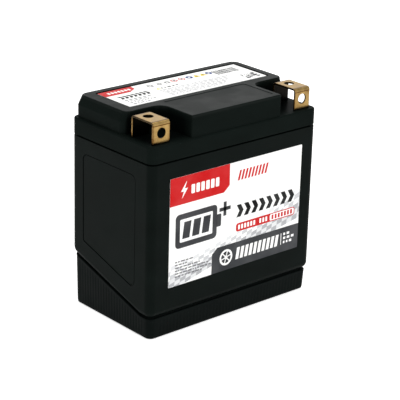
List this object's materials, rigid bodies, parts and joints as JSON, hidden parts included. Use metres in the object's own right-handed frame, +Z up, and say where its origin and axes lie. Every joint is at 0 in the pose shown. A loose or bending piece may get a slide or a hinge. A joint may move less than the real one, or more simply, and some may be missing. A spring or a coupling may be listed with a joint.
{
  "type": "motorcycle battery",
  "caption": "Black block-shaped motorcycle battery with bent brass corner terminals, printed labels and a loose wedge-shaped height spacer under it.",
  "frame": {"origin": "middle of the footprint, on the surface that the battery stands on", "axes": "+X along the long side to the negative terminal, +Y from the front label to the back, +Z up"},
  "size_m": [0.15, 0.087, 0.153],
  "materials": {
    "spacer_plastic": "satin",
    "case_plastic": "satin",
    "lid_plastic": "satin",
    "brass": "satin",
    "label_print": "satin",
    "cell_sleeve": "satin",
    "holder_plastic": "matte",
    "nickel": "satin",
    "insulating_paper": "matte",
    "foam": "matte",
    "board_laminate": "satin",
    "component_plastic": "matte",
    "aluminium": "satin",
    "copper": "satin",
    "connector_plastic": "matte",
    "steel": "satin",
    "red_insulation": "matte",
    "black_insulation": "matte"
  },
  "bodies": {
    "spacer": {"base_spacer": "spacer_plastic"},
    "battery": {"balance_connector": "connector_plastic", "balance_plug": "connector_plastic", "balance_wire_1": "black_insulation", "balance_wire_2": "red_insulation", "balance_wire_3": "red_insulation", "balance_wire_4": "red_insulation", "balance_wire_5": "red_insulation", "bms_board": "board_laminate", "board_foam_pad": "foam", "bus_plate_bottom_left": "nickel", "bus_plate_bottom_right": "nickel", "bus_plate_top_middle": "nickel", "bus_plate_top_negative": "nickel", "bus_plate_top_positive": "nickel", "case": "case_plastic", "cell_01": "cell_sleeve", "cell_02": "cell_sleeve", "cell_03": "cell_sleeve", "cell_04": "cell_sleeve", "cell_05": "cell_sleeve", "cell_06": "cell_sleeve", "cell_07": "cell_sleeve", "cell_08": "cell_sleeve", "cell_09": "cell_sleeve", "cell_10": "cell_sleeve", "cell_11": "cell_sleeve", "cell_12": "cell_sleeve", "cell_holder_lower": "holder_plastic", "cell_holder_upper": "holder_plastic", "current_shunt": "copper", "filter_capacitor": "component_plastic", "foam_pad_left": "foam", "foam_pad_right": "foam", "front_label": "label_print", "heat_spreader": "aluminium", "insulator_bottom": "insulating_paper", "insulator_top": "insulating_paper", "lead_negative": "black_insulation", "lead_pack_negative": "black_insulation", "lead_positive": "red_insulation", "lid": "lid_plastic", "lug_negative": "copper", "lug_nut_negative": "steel", "lug_nut_positive": "steel", "lug_positive": "copper", "lug_screw_negative": "steel", "lug_screw_positive": "steel", "mosfet_1": "component_plastic", "mosfet_2": "component_plastic", "mosfet_3": "component_plastic", "mosfet_4": "component_plastic", "support_wedge": "foam", "terminal_negative": "brass", "terminal_positive": "brass", "top_label": "label_print"}
  },
  "joints": [
    {"name": "battery_lift", "type": "slide", "parent": "spacer", "child": "battery", "axis": [0, 0, 1], "range_m": [0, 0.06]}
  ]
}
